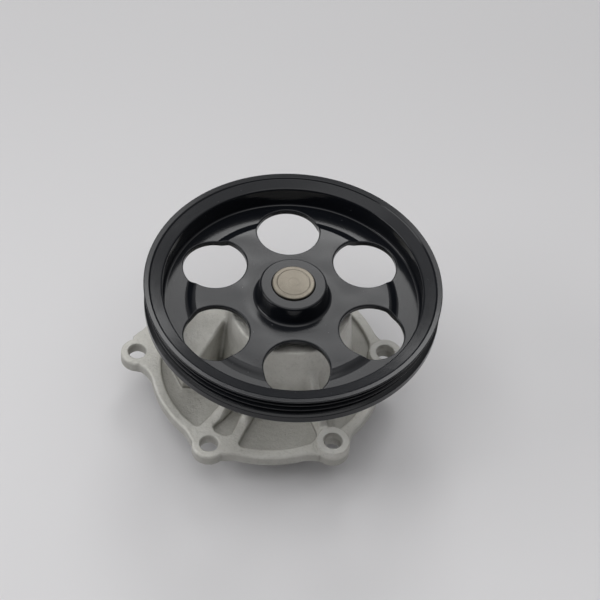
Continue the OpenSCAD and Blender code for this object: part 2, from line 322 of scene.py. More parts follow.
@dataclass(frozen=True)
class CastAlloy(Finish):
    """Die-cast light alloy: fine grain, machined mounting and spot faces, painted shade in creases
    and low pockets and a painted highlight on edges.
    """

    tone: Colour = (0.585, 0.576, 0.537)
    pale: Colour = (0.69, 0.682, 0.642)
    # bright machined metal, also the colour of the painted highlight on edges
    bright_metal_and_highlight: Colour = (0.70, 0.70, 0.68)
    # dark mottle colour, also the colour of the painted shade in creases and low pockets
    dark_mottle_and_shade: Colour = (0.20, 0.195, 0.175)
    spots: tuple[Colour, ...] = ((0.0236, -0.0572, 0.0), (0.0525, 0.0015, 0.0))
    spot_r: float = 0.0081
    spot_height: float = 0.0103
    spot_share: float = 0.3
    face_height: float = 0.00012
    # painted shade darkens the casting below these heights, over the pocket floors and lower
    # flange sides
    pocket_shade_band: Band = (0.0046, 0.0066)
    # heights over which the painted crease shade fades, and the hollow band that it covers
    crease_shade_fade_band: Band = (0.009, 0.016)
    crease_shade_band: Band = (0.56, 1.0)
    edge_highlight_band: Band = (0.15, 0.46)
    metal: float = 0.55
    grain_depth: float = 0.00034

    def make(self) -> bpy.types.Material:
        """Makes the material.

        Returns:
            Grainy grey metal whose flat machined faces are brighter and streaked, with painted
            shade in creases and low pockets and a painted highlight on edges.
        """
        book = NodeBook(self.name)
        at = book.place()
        height = book.axis(at, "Z")
        cloud = book.noise(at, 55.0, 4.0, 0.55)
        grain = book.noise(at, 1500.0, 3.0, 0.6)
        coarse = book.noise(at, 620.0, 4.0, 0.6)
        skin = book.noise(at, 420.0, 2.0, 0.5)
        cut = height < self.face_height
        for centre in self.spots:
            disc = book.radius(at, centre) < self.spot_r
            cut = cut + disc * (height > self.spot_height) * self.spot_share
        lines = book.add(
            "ShaderNodeTexWave",
            {"wave_type": "BANDS", "bands_direction": "DIAGONAL"},
            {"Vector": at, "Scale": 420.0, "Distortion": 2.0, "Detail": 2.0},
            "Fac",
        )
        hollow = book.add("ShaderNodeAttribute", {"attribute_name": "hollow"}, {}, "Fac")
        # painted shade: creases found from the hollow attribute darken towards the dark mottle
        # colour, less on the tall walls
        crease = hollow.ramp(*self.crease_shade_band, 0.0, 0.8) * height.ramp(*self.crease_shade_fade_band, 1.0, 0.3)
        body = book.blend(cloud.ramp(0.35, 0.68), self.tone, self.pale)
        for share, colour in (
            (grain.ramp(0.50, 0.72, 0.0, 0.35), self.bright_metal_and_highlight),
            (coarse.ramp(0.50, 0.80, 0.0, 0.25), self.dark_mottle_and_shade),
            (crease, self.dark_mottle_and_shade),
            # painted highlight: convex edges lighten towards the bright metal colour
            (hollow.ramp(*self.edge_highlight_band, 0.40, 0.0), self.bright_metal_and_highlight),
            # painted shade: pocket floors and everything below them are darker
            (height.ramp(*self.pocket_shade_band, 0.38, 0.0), self.dark_mottle_and_shade),
            (cut * 0.8, self.bright_metal_and_highlight),
        ):
            body = book.blend(share, body, colour)
        bumps = (grain * 0.7 + skin * 1.3) * (1.0 - cut) + lines * cut * 0.25
        return book.surface(
            Base_Color=body,
            Metallic=self.metal,
            Roughness=0.62 + (grain - 0.5) * 0.25 - cut * 0.26,
            Normal=book.relief(bumps, self.grain_depth),
        )


@dataclass(frozen=True)
class BlackEnamel(Finish):
    """Glossy black stoved coat: a faint ripple, slow waves on the web, a little dust."""

    tone: Colour = (0.006, 0.007, 0.0095)
    dust: Colour = (0.24, 0.24, 0.25)
    gloss: float = 0.17
    web_start: Band = (0.020, 0.026)
    web_end: Band = (0.047, 0.056)
    film_share: float = 0.018
    speck_share: float = 0.8
    wave_depth: float = 0.00006

    def make(self) -> bpy.types.Material:
        """Makes the material.

        Returns:
            Black gloss whose roughness wanders, with rare pale specks.
        """
        book = NodeBook(self.name)
        at = book.place()
        haze = book.noise(at, 38.0, 4.0, 0.6)
        out = book.radius(at)
        web = out.ramp(*self.web_start) * out.ramp(*self.web_end, 1.0, 0.0)
        sag = (book.noise(at, 33.0, 1.0, 0.4) - 0.5) * web
        film = book.noise(at, 85.0, 5.0, 0.65)
        ripple = book.noise(at, 260.0, 2.0, 0.45)
        fleck = book.noise(at, 900.0, 1.0, 0.4)
        speck = fleck.ramp(0.80, 0.84)
        dusty = film.ramp(0.42, 0.75, 0.0, self.film_share) * web
        colour = book.blend(dusty, self.tone, self.dust)
        colour = book.blend(speck * self.speck_share, colour, self.dust)
        waves = ripple * 0.35 + haze * 2.2 + sag * 54.0
        return book.surface(
            Base_Color=colour,
            Roughness=self.gloss + (haze - 0.5) * 0.10 + speck * 0.4,
            IOR=1.37,
            Coat_Weight=0.04,
            Coat_Roughness=0.06,
            Normal=book.relief(waves, self.wave_depth, 0.5),
        )


@dataclass(frozen=True)
class TurnedMetal(Finish):
    """Bare metal with faint concentric tool marks about the shaft."""

    tone: Colour = (0.66, 0.64, 0.60)
    rough: float = 0.3
    pitch: float = 0.0004
    marks: float = 0.5
    stain: float = 0.2
    wander_depth: float = 0.0004
    mark_depth: float = 0.00002

    def make(self) -> bpy.types.Material:
        """Makes the material.

        Returns:
            Metal whose tool marks are rings: the sine of radius over pitch.
        """
        book = NodeBook(self.name)
        at = book.place()
        out = book.radius(at)
        wander = book.noise(at, 70.0, 3.0, 0.55)
        fine = book.noise(at, 1100.0, 3.0, 0.6)
        turn = (out + wander * self.wander_depth) * (2.0 * math.pi / self.pitch)
        rings = book.add("ShaderNodeMath", {"operation": "SINE"}, {0: turn})
        dull = tuple(0.62 * part for part in self.tone)
        colour = book.blend(wander.ramp(0.45, 0.75, 0.0, self.stain), self.tone, dull)
        return book.surface(
            Base_Color=colour,
            Metallic=1.0,
            Roughness=self.rough + (fine - 0.5) * 0.22 + (wander - 0.5) * 0.12,
            Normal=book.relief(rings * 0.5 * self.marks + fine * 0.6, self.mark_depth, 0.6),
        )


@dataclass(frozen=True)
class Moulded(Finish):
    """Moulded or pressed non-metal: rubber, plastic, carbon or ceramic."""

    tone: Colour = (0.02, 0.02, 0.02)
    rough: float = 0.6
    grain: float = 900.0
    depth: float = 0.00004
    vary: float = 0.3

    def make(self) -> bpy.types.Material:
        """Makes the material.

        Returns:
            A matt surface with a fine skin and a slow change of shade.
        """
        book = NodeBook(self.name)
        at = book.place()
        slow = book.noise(at, 120.0, 3.0, 0.5)
        skin = book.noise(at, self.grain, 3.0, 0.55)
        other = tuple(part * (1.0 - self.vary) for part in self.tone)
        return book.surface(
            Base_Color=book.blend(slow.ramp(0.35, 0.7), self.tone, other),
            Roughness=self.rough + (skin - 0.5) * 0.3,
            Normal=book.relief(skin, self.depth, 0.7),
        )


@dataclass(frozen=True)
class PaleSheet(Finish):
    """Matt pale studio floor, with painted shade greying its far side."""

    tone: Colour = (0.74, 0.735, 0.745)

    def make(self) -> bpy.types.Material:
        """Makes the material: a pale matt sheet with painted shade, a little greyer towards its
        far side.
        """
        book = NodeBook(self.name)
        at = book.place()
        slow = book.noise(at, 2.0, 2.0, 0.5)
        other = tuple(part * 0.97 for part in self.tone)
        grey = tuple(part * 0.6 for part in self.tone)
        # painted shade: the far side of the sheet is greyed
        far = book.axis(at, "Y").ramp(-0.05, 0.35, 0.0, 0.38)
        return book.surface(
            Base_Color=book.blend(far, book.blend(slow, self.tone, other), grey),
            Roughness=0.75 + (slow - 0.5) * 0.1,
        )


FINISHES: dict[Slot, Finish] = {
    Slot.CAST_ALLOY: CastAlloy("cast_alloy_grain"),
    Slot.BLACK_COAT: BlackEnamel("black_enamel"),
    Slot.SHAFT_STEEL: TurnedMetal(
        "shaft_end_steel", (0.215, 0.195, 0.162), 0.46, 0.0009, 0.9, 0.5
    ),
    Slot.BEARING_STEEL: TurnedMetal("ground_bearing_steel", (0.56, 0.56, 0.57), 0.26, 0.0003),
    Slot.BALL_STEEL: TurnedMetal("polished_ball_steel", (0.70, 0.70, 0.71), 0.10, 0.0002, 0.1),
    Slot.CAGE_PLASTIC: Moulded("cage_nylon", (0.42, 0.33, 0.20), 0.45, 700.0, 0.00003),
    Slot.SEAL_RUBBER: Moulded("lip_seal_rubber", (0.025, 0.022, 0.020), 0.55),
    Slot.BELLOWS_RUBBER: Moulded("bellows_rubber_skin", (0.018, 0.018, 0.018), 0.65),
    Slot.GASKET_RUBBER: Moulded("gasket_rubber_skin", (0.020, 0.020, 0.022), 0.5),
    Slot.PLATED_STEEL: TurnedMetal("zinc_plate", (0.62, 0.62, 0.60), 0.32, 0.0006, 0.3),
    Slot.SEAL_BRASS: TurnedMetal("drawn_brass", (0.62, 0.44, 0.18), 0.28, 0.0007, 0.4),
    Slot.SPRING_STEEL: TurnedMetal("spring_strip", (0.60, 0.60, 0.61), 0.25, 0.0005, 0.2),
    Slot.CARBON: Moulded("pressed_carbon", (0.035, 0.035, 0.038), 0.38, 1600.0, 0.00002),
    Slot.CERAMIC_WHITE: Moulded(
        "fired_ceramic", (0.72, 0.69, 0.61), 0.22, 1300.0, 0.00001, 0.08
    ),
    Slot.IMPELLER_STEEL: TurnedMetal(
        "pressed_impeller_steel", (0.50, 0.50, 0.49), 0.36, 0.0011, 0.5, 0.5
    ),
}


class Paintbox:
    """Makes each finish once and hands it out."""

    def __init__(self) -> None:
        """Starts with nothing mixed."""
        self.ready: dict[Slot, bpy.types.Material] = {}

    def pick(self, slot: Slot) -> bpy.types.Material:
        """The material of a slot, made when it is first asked for.

        Args:
            slot: the material slot.

        Returns:
            Its material.
        """
        if slot not in self.ready:
            self.ready[slot] = FINISHES[slot].make()
        return self.ready[slot]


# ---------------------------------------------------------------------- meshes


@dataclass
class Shell:
    """A surface: points and normals in millimetres, and faces of four corners."""

    points: np.ndarray
    normals: np.ndarray
    faces: np.ndarray
    hollow: Union[np.ndarray, None] = None

    def welded(self) -> "Shell":
        """Merges points that lie within a tenth of a micron of each other.

        Returns:
            The shell with each place held once, and no face that shrank to a line.
        """
        key = np.round(self.points * 1e4).astype(np.int64)
        _, first, where = np.unique(key, axis=0, return_index=True, return_inverse=True)
        where = where.reshape(-1)
        faces = where[self.faces]
        summed = np.zeros((len(first), 3))
        np.add.at(summed, where, self.normals)
        long = np.linalg.norm(summed, axis=1, keepdims=True)
        return Shell(self.points[first], summed / np.maximum(long, 1e-9), faces)


def eased(share: np.ndarray) -> np.ndarray:
    """Smooth step of a share s held between 0 and 1: 3 s^2 - 2 s^3.

    Args:
        share: the share, of any size.

    Returns:
        The eased share.
    """
    share = np.clip(share, 0, 1)
    return share**2 * (3.0 - 2.0 * share)


def grid_faces(rows: int, columns: int, wrap_rows: bool, wrap_columns: bool) -> np.ndarray:
    """Faces of a grid of points held row by row.

    Args:
        rows: number of rows.
        columns: number of columns.
        wrap_rows: whether the last row joins the first.
        wrap_columns: whether the last column joins the first.

    Returns:
        Corner numbers, four to a face, turning from rows towards columns.
    """
    row = np.arange(rows if wrap_rows else rows - 1)[:, None]
    column = np.arange(columns if wrap_columns else columns - 1)[None, :]
    below, right = (row + 1) % rows, (column + 1) % columns
    corners = [
        row * columns + column,
        below * columns + column,
        below * columns + right,
        row * columns + right,
    ]
    return np.stack(np.broadcast_arrays(*corners), -1).reshape(-1, 4)


def revolve(profile: np.ndarray, across: np.ndarray, turns: int) -> Shell:
    """Carries a closed profile once round the Z axis.

    A point at radius r and height z goes to (r cos a, r sin a, z) for each
    angle a, and its normal turns with it. Profiles run anticlockwise as seen
    with the radius to the right and the height up, so that faces point outwards.

    Args:
        profile: radius and height of each point.
        across: outward normal of each point, in the same plane.
        turns: number of steps round the circle.

    Returns:
        The closed surface.
    """
    angle = np.arange(turns) * (2.0 * math.pi / turns)
    cosine, sine = np.cos(angle)[:, None], np.sin(angle)[:, None]

    def spun(pair: np.ndarray) -> np.ndarray:
        """Turns pairs of radius and height into points round the axis."""
        height = np.broadcast_to(pair[None, :, 1], (turns, len(pair)))
        return np.stack([cosine * pair[None, :, 0], sine * pair[None, :, 0], height], -1)

    faces = grid_faces(turns, len(profile), True, True)
    return Shell(spun(profile).reshape(-1, 3), spun(across).reshape(-1, 3), faces)


def rounded(table: np.ndarray, steps: int, least: float = 0.0) -> tuple[np.ndarray, np.ndarray]:
    """Rounds every corner of a closed outline with an arc.

    The arc of radius r touches both edges at r / tan(half the corner's angle)
    from the corner, or at 0.49 of the shorter edge where that is less. Its
    points sweep from one touching point to the other about the arc's centre.

    Args:
        table: two coordinates and the wanted radius of each corner, anticlockwise.
        steps: steps along each arc.
        least: the smallest radius that is used.

    Returns:
        The points of the rounded outline and their outward normals.
    """
    corners, radii = table[:, :2], np.maximum(table[:, 2], least)
    back = np.roll(corners, 1, 0) - corners
    ahead = np.roll(corners, -1, 0) - corners
    back_long, ahead_long = np.linalg.norm(back, axis=1), np.linalg.norm(ahead, axis=1)
    back, ahead = back / back_long[:, None], ahead / ahead_long[:, None]
    half = np.arccos(np.clip((back * ahead).sum(1), -0.999999, 0.999999)) / 2.0
    reach = np.minimum(radii / np.tan(half), 0.49 * np.minimum(back_long, ahead_long))
    radius = reach * np.tan(half)
    middle = back + ahead
    middle /= np.linalg.norm(middle, axis=1, keepdims=True)
    centre = corners + middle * (radius / np.sin(half))[:, None]
    start = corners + back * reach[:, None] - centre
    end = corners + ahead * reach[:, None] - centre
    sweep = (math.pi - 2.0 * half)[:, None]
    share = np.linspace(0.0, 1.0, steps + 1)[None, :]
    near = np.sin((1.0 - share) * sweep) / np.sin(sweep)
    far = np.sin(share * sweep) / np.sin(sweep)
    spoke = near[..., None] * start[:, None, :] + far[..., None] * end[:, None, :]
    convex = np.sign(ahead[:, 1] * back[:, 0] - ahead[:, 0] * back[:, 1])
    normal = spoke / np.maximum(np.linalg.norm(spoke, axis=2, keepdims=True), 1e-9)
    normal *= -convex[:, None, None]
    return (centre[:, None, :] + spoke).reshape(-1, 2), normal.reshape(-1, 2)


class Workshop:
    """Turns shells into Blender objects that ride, replace and wear a finish."""

    def __init__(self, paints: Paintbox) -> None:
        """Keeps the paintbox."""
        self.paints = paints

    def build(
        self, name: str, shell: Shell, slot: Slot, body: Body, replaced: str
    ) -> bpy.types.Object:
        """Makes one piece.

        Args:
            name: the piece's name.
            shell: its surface in millimetres.
            slot: the record's material slot.
            body: the body that it rides on.
            replaced: the CAD node that it stands for.

        Returns:
            The object, at the origin with its place in its mesh.
        """
        mesh = bpy.data.meshes.new(name)
        kept = shell.faces != np.roll(shell.faces, -1, 1)
        sound = kept.sum(1) > 2
        corners, kept = shell.faces[sound], kept[sound]
        size = kept.sum(1)
        mesh.vertices.add(len(shell.points))
        mesh.vertices.foreach_set("co", (shell.points * MM).astype(np.float32).ravel())
        mesh.loops.add(int(size.sum()))
        mesh.loops.foreach_set("vertex_index", corners[kept].astype(np.int32))
        mesh.polygons.add(len(size))
        mesh.polygons.foreach_set("loop_start", (np.cumsum(size) - size).astype(np.int32))
        mesh.update(calc_edges=True)
        if shell.hollow is not None:
            note = mesh.attributes.new("hollow", "FLOAT", "POINT")
            note.data.foreach_set("value", shell.hollow.astype(np.float32))
        mesh.validate()
        mesh.shade_smooth()
        if len(mesh.vertices) == len(shell.normals):
            mesh.normals_split_custom_set_from_vertices(shell.normals.tolist())
        mesh.materials.append(self.paints.pick(slot))
        piece = bpy.data.objects.new(name, mesh)
        bpy.context.scene.collection.objects.link(piece)
        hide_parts(replaced)
        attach(piece, body.value)
        LOG.info("%s: %d points, %d faces", name, len(mesh.vertices), len(mesh.polygons))
        return piece


# ---------------------------------------------------------------------- pulley


@dataclass
class PulleyWheel:
    """The belt pulley: grooved rim, stepped web with six holes, and hub."""

    lip_r: float = 76.0
    lip_z: float = 68.0
    rim_width: float = 17.5
    crest_r: float = 74.6
    groove_depth: float = 2.9
    groove_pitch: float = 3.56
    grooves: int = 3
    groove_drop: float = 6.8
    groove_root: float = 0.45
    groove_round: float = 0.28
    crest_half: float = 0.25
    wall_r: float = 66.3
    seam_r: float = 62.9
    ring_r: float = 72.7
    web_t: float = 3.3
    web_rise: float = 2.2
    step_foot_r: float = 55.0
    step_top_r: float = 49.6
    circle_r: float = 45.4
    hole_r: float = 16.6
    hole_turn: float = 3.0
    edge_r: float = 0.8
    hub_top_r: float = 16.4
    hub_foot_r: float = 19.2
    hub_top_z: float = 66.0
    shaft_r: float = 11.0
    inner_r: float = 17.6
    rear_lead: float = 1.4
    rear_run: float = 5.2
    seam_lap: float = 0.2
    lap_lift: float = 0.015
    rim_turns: int = 288
    hub_turns: int = 192
    arc_steps: int = 72
    side_steps: int = 74
    inner_steps: int = 22
    front_steps: int = 23
    rear_steps: int = 13
    edge_steps: int = 5

    @property
    def rear_z(self) -> float:
        """Height of the rim's rear face."""
        return self.lip_z - self.rim_width

    def rim_outline(self) -> tuple[np.ndarray, np.ndarray]:
        """Cross-section of the rim: lips, three V grooves, front ring and wall.

        Returns:
            Its rounded points and normals, radius and height in millimetres.
        """
        low, top = self.rear_z, self.lip_z
        middle = top - self.groove_drop
        band = 1.5 * self.groove_pitch
        half = self.groove_pitch / 2.0 - self.crest_half
        crest, root, wide = self.crest_r, self.crest_r - self.groove_depth, self.groove_root
        foot = low + self.web_t + self.lap_lift
        vees = [
            (out, middle + number * self.groove_pitch + rise, self.groove_round)
            for number in (np.arange(self.grooves) - 1.0)
            for out, rise in ((crest, -half), (root, -wide), (root, wide), (crest, half))
        ]
        rear = [
            (self.seam_r, low, 0.0),
            (self.lip_r - 0.9, low, 1.4),
            (self.lip_r - 0.1, low + 1.0, 1.2),
            (self.lip_r - 0.1, middle - band - 0.6, 0.5),
            (crest, middle - band + 0.1, 0.3),
        ]
        front = [
            (crest, middle + band - 0.1, 0.3),
            (self.lip_r, middle + band + 0.5, 0.8),
            (self.lip_r, top + 0.05, 0.8),
            (self.ring_r + 0.6, top - 0.45, 0.8),
            (self.ring_r, top - 1.1, 0.6),
            (self.wall_r + 0.2, top - 2.55, 1.3),
            (self.wall_r, top - 6.0, 0.0),
            (self.wall_r, foot, 1.3),
            (self.seam_r - self.seam_lap, foot, 0.0),
        ]
        return rounded(np.array(rear + vees + front), 7, 0.02)

    def rim(self) -> Shell:
        """The rim, turned once round the shaft."""
        return revolve(*self.rim_outline(), self.rim_turns)

    def top(self, out: np.ndarray) -> np.ndarray:
        """Height of the web's front face: a smooth step down at the step radius.

        Args:
            out: distance from the shaft axis.

        Returns:
            Height in millimetres.
        """
        fall = eased((out - self.step_top_r) / (self.step_foot_r - self.step_top_r))
        return self.rear_z + self.web_t + self.web_rise * (1.0 - fall)

    def bottom(self, out: np.ndarray) -> np.ndarray:
        """Height of the web's rear face, whose step starts inside the front one.

        Args:
            out: distance from the shaft axis.

        Returns:
            Height in millimetres.
        """
        fall = eased((out - self.step_top_r + self.rear_lead) / self.rear_run)
        return self.rear_z + self.web_rise * (1.0 - fall)

    def sector_edge(self) -> np.ndarray:
        """Boundary of one sixth of the web, from the inner to the seam radius.

        Returns:
            Points in order round it: outer arc, side, inner arc and other side.
        """
        inner, outer = self.inner_r, self.seam_r
        arc = math.radians(30.0)
        round_n, side_n, inner_n = self.arc_steps, self.side_steps, self.inner_steps
        sweep = np.linspace(-arc, arc, round_n, endpoint=False)
        side = np.linspace(outer, inner, side_n, endpoint=False)
        short = np.linspace(arc, -arc, inner_n, endpoint=False)
        rise = np.linspace(inner, outer, side_n, endpoint=False)
        out = np.concatenate([np.full(round_n, outer), side, np.full(inner_n, inner), rise])
        angle = np.concatenate([sweep, np.full(side_n, arc), short, np.full(side_n, -arc)])
        return np.stack([out * np.cos(angle), out * np.sin(angle)], 1)

    def web(self) -> Shell:
        """The web with its six holes.

        Each sixth is a grid of two parameters: a ray from the hole's centre to
        a point of the sixth's boundary, and the way along it, over the front
        face, round the hole's front edge, down its wall, round its rear edge
        and back over the rear face. A ray's point lies at the hole's centre
        plus its distance times its direction, at the height of that face.

        Returns:
            The web, closed, with the sixths welded.
        """
        edge = self.sector_edge()
        centre = np.array([self.circle_r, 0.0])
        ray = edge - centre
        reach = np.linalg.norm(ray, axis=1, keepdims=True)
        ray = (ray / reach)[:, None, :]
        start = self.hole_r + self.edge_r
        across = np.linspace(1.0, 0.0, self.front_steps)
        back = np.linspace(0.0, 1.0, self.rear_steps)
        quarter = np.linspace(0.0, math.pi / 2.0, self.edge_steps + 1)[1:]
        turn = np.concatenate([0.0 * across, quarter, quarter[::-1], 0.0 * back])
        way = np.concatenate([across, 0.0 * quarter, 0.0 * quarter, back])
        dist = start + (reach - start) * way - self.edge_r * np.sin(turn)
        flat = centre + ray * dist[..., None]
        out = np.linalg.norm(flat, axis=2)
        side = np.where(np.arange(len(way)) < self.front_steps + self.edge_steps, 1.0, -1.0)

        def level(near: np.ndarray) -> np.ndarray:
            """Height of the face that each point of the way belongs to."""
            return np.where(side > 0.0, self.top(near), self.bottom(near))

        tiny = 0.01
        slope = (level(out + tiny) - level(out - tiny)) / (2 * tiny)
        height = level(out) - side * self.edge_r * (1.0 - np.cos(turn))
        tilted = -slope[..., None] * flat / out[..., None]
        face = np.concatenate([tilted, np.ones_like(out)[..., None]], 2)
        face *= side[:, None] / np.linalg.norm(face, axis=2, keepdims=True)
        inward = np.concatenate([-np.broadcast_to(ray, flat.shape), 0 * out[..., None]], 2)
        normal = face * np.cos(turn)[:, None] + inward * np.sin(turn)[:, None]
        points = np.concatenate([flat, height[..., None]], 2)
        count, width = points.shape[:2]
        faces = grid_faces(count, width, True, False)
        inner_start = self.arc_steps + self.side_steps
        closing = np.concatenate(
            [np.arange(self.arc_steps), inner_start + np.arange(self.inner_steps)]
        )
        here, after = closing * width, (closing + 1) % count * width
        closed = np.stack([here, here + width - 1, after + width - 1, after], 1)
        faces = np.concatenate([faces, closed])
        return self.six_of(Shell(points.reshape(-1, 3), normal.reshape(-1, 3), faces)).welded()

    def six_of(self, one: Shell) -> Shell:
        """Repeats one sixth of the web at six equal angles about the shaft.

        Args:
            one: the sixth that lies about the first axis.

        Returns:
            The six together, not yet welded.
        """
        angle = np.radians(60.0 * np.arange(6) + 30.0 + self.hole_turn)
        cosine, sine, none, whole = np.cos(angle), np.sin(angle), np.zeros(6), np.ones(6)
        turn = np.array([[cosine, -sine, none], [sine, cosine, none], [none, none, whole]])
        points = np.einsum("ijk,nj->kni", turn, one.points).reshape(-1, 3)
        normals = np.einsum("ijk,nj->kni", turn, one.normals).reshape(-1, 3)
        shift = (np.arange(6) * len(one.points))[:, None, None]
        return Shell(points, normals, (one.faces[None] + shift).reshape(-1, 4))

    def hub(self) -> Shell:
        """The hub: a tapered boss with a soft front edge and a filleted foot.

        Returns:
            Its profile turned once round the shaft.
        """
        low = self.rear_z - 1.2
        web_top = self.rear_z + self.web_t + self.web_rise
        table = np.array(
            [
                (self.shaft_r, low, 0.3),
                (self.hub_foot_r, low, 1.0),
                (self.hub_foot_r, self.rear_z + self.web_rise + 0.4, 0.05),
                (self.hub_foot_r + 3.2, self.rear_z + self.web_rise + 0.6, 0.05),
                (self.hub_foot_r + 3.2, web_top - 0.04, 0.02),
                (self.hub_foot_r - 0.35, web_top - 0.02, 2.4),
                (self.hub_top_r + 0.75, self.hub_top_z, 1.3),
                (self.shaft_r, self.hub_top_z, 0.5),
            ]
        )
        return revolve(*rounded(table, 8), self.hub_turns)

    def build(self, shop: Workshop) -> None:
        """Makes the three pulley pieces.

        Args:
            shop: the workshop that makes them.
        """
        shells = {"pulley_rim": self.rim(), "pulley_web": self.web(), "pulley_hub": self.hub()}
        for node, shell in shells.items():
            shop.build(f"{node}_shell", shell, Slot.BLACK_COAT, Body.ROTOR, node)


@dataclass
class DriveShaft:
    """The bearing shaft, whose ground front end shows in the hub."""

    radius: float = 11.0
    tail: float = 8.0
    top_z: float = 67.2
    end_z: float = -18.5
    shoulder_z: float = 12.0
    ball_z: float = 38.0

    def outline(self) -> tuple[np.ndarray, np.ndarray]:
        """Cross-section of the shaft, down its axis and up its side.

        Returns:
            Its rounded points and normals.
        """
        table = np.array(
            [
                (0.0, self.end_z, 0.0),
                (self.tail, self.end_z, 0.7),
                (self.tail, self.shoulder_z, 0.3),
                (self.radius, self.shoulder_z, 0.4),
                (self.radius, self.ball_z - 2.0, 0.1),
                (self.radius - 0.5, self.ball_z, 2.5),
                (self.radius, self.ball_z + 2.0, 0.1),
                (self.radius, self.top_z, 0.75),
                (8.7, self.top_z, 0.12),
                (8.5, self.top_z - 0.14, 0.12),
                (8.3, self.top_z - 0.14, 0.12),
                (8.1, self.top_z, 0.12),
                (3.2, self.top_z, 0.4),
                (2.6, self.top_z - 0.06, 0.4),
                (0.0, self.top_z - 0.08, 0.0),
            ]
        )
        return rounded(table, 6, 1e-4)

    def shell(self) -> Shell:
        """The shaft turned about its axis, with its two poles closed.

        Returns:
            The closed surface, whose poles are single points.
        """
        points, normals = self.outline()
        points[:, 0] = np.maximum(points[:, 0], 0.0)
        on_axis = points[:, 0] < 1e-2
        points[on_axis, 0] = 0.0
        normals[on_axis] = np.where(points[on_axis, 1:] > 0, [[0.0, 1.0]], [[0.0, -1.0]])
        return revolve(points, normals, 128).welded()

    def build(self, shop: Workshop) -> None:
        """Makes the shaft."""
        shop.build("drive_shaft", self.shell(), Slot.SHAFT_STEEL, Body.ROTOR, "shaft")


# --------------------------------------------------------------------- casting

Field = Callable[[np.ndarray, np.ndarray, np.ndarray], np.ndarray]


def joined(first: np.ndarray, second: np.ndarray, fillet: float) -> np.ndarray:
    """Distance to two shapes joined with a round fillet.

    It is the larger of the fillet and the lesser distance, less the length of
    the pair (fillet - first, fillet - second) with negatives taken as zero.

    Args:
        first: distance to one shape.
        second: distance to the other.
        fillet: the fillet's radius.

    Returns:
        Distance to both together.
    """
    dip = np.hypot(np.maximum(fillet - first, 0.0), np.maximum(fillet - second, 0.0))
    return np.maximum(fillet, np.minimum(first, second)) - dip


def common(first: np.ndarray, second: np.ndarray, edge: float) -> np.ndarray:
    """Distance to what two shapes share, with its edge rounded: joined, inside out."""
    return -joined(-first, -second, edge)


def disc(x: np.ndarray, y: np.ndarray, centre: Point, radius: float) -> np.ndarray:
    """Distance to an upright cylinder: distance to its axis less its radius."""
    return np.hypot(x - centre[0], y - centre[1]) - radius


def prism(x: np.ndarray, y: np.ndarray, outline: Outline) -> np.ndarray:
    """Distance to an upright prism over a polygon.

    The nearest of the distances to its edges, negative where a level line to
    the right crosses the outline an odd number of times.

    Args:
        x: first coordinate.
        y: second coordinate.
        outline: the polygon's points.

    Returns:
        Signed distance, in the shape of x and y together.
    """
    corners = np.array(outline, float)
    x, y = np.broadcast_arrays(x, y)
    px, py = x[..., None] - corners[:, 0], y[..., None] - corners[:, 1]
    side = np.roll(corners, -1, 0) - corners
    along = np.clip((px * side[:, 0] + py * side[:, 1]) / (side**2).sum(1), 0.0, 1.0)
    away = np.hypot(px - along * side[:, 0], py - along * side[:, 1]).min(-1)
    over = (py >= 0.0) != (py >= side[:, 1])
    level = np.where(side[:, 1] == 0.0, 1e-9, side[:, 1])
    left = px < py * side[:, 0] / level
    inside = (over & left).sum(-1) % 2 == 1
    return np.where(inside, -away, away)


def strip(
    x: np.ndarray, y: np.ndarray, start: Point, angle: float
) -> tuple[np.ndarray, np.ndarray]:
    """Coordinates along and across a line.

    Args:
        x: first coordinate.
        y: second coordinate.
        start: where the line begins.
        angle: its direction in degrees.

    Returns:
        The way along it and the distance to its side.
    """
    cosine, sine = math.cos(math.radians(angle)), math.sin(math.radians(angle))
    dx, dy = x - start[0], y - start[1]
    return dx * cosine + dy * sine, np.abs(dy * cosine - dx * sine)


@dataclass(frozen=True)
class Rib:
    """A cast rib: its low end, direction, thickness, and its rise to the tower."""

    start: Point
    angle: float
    width: float
    foot: Point
    run: float
    top: float


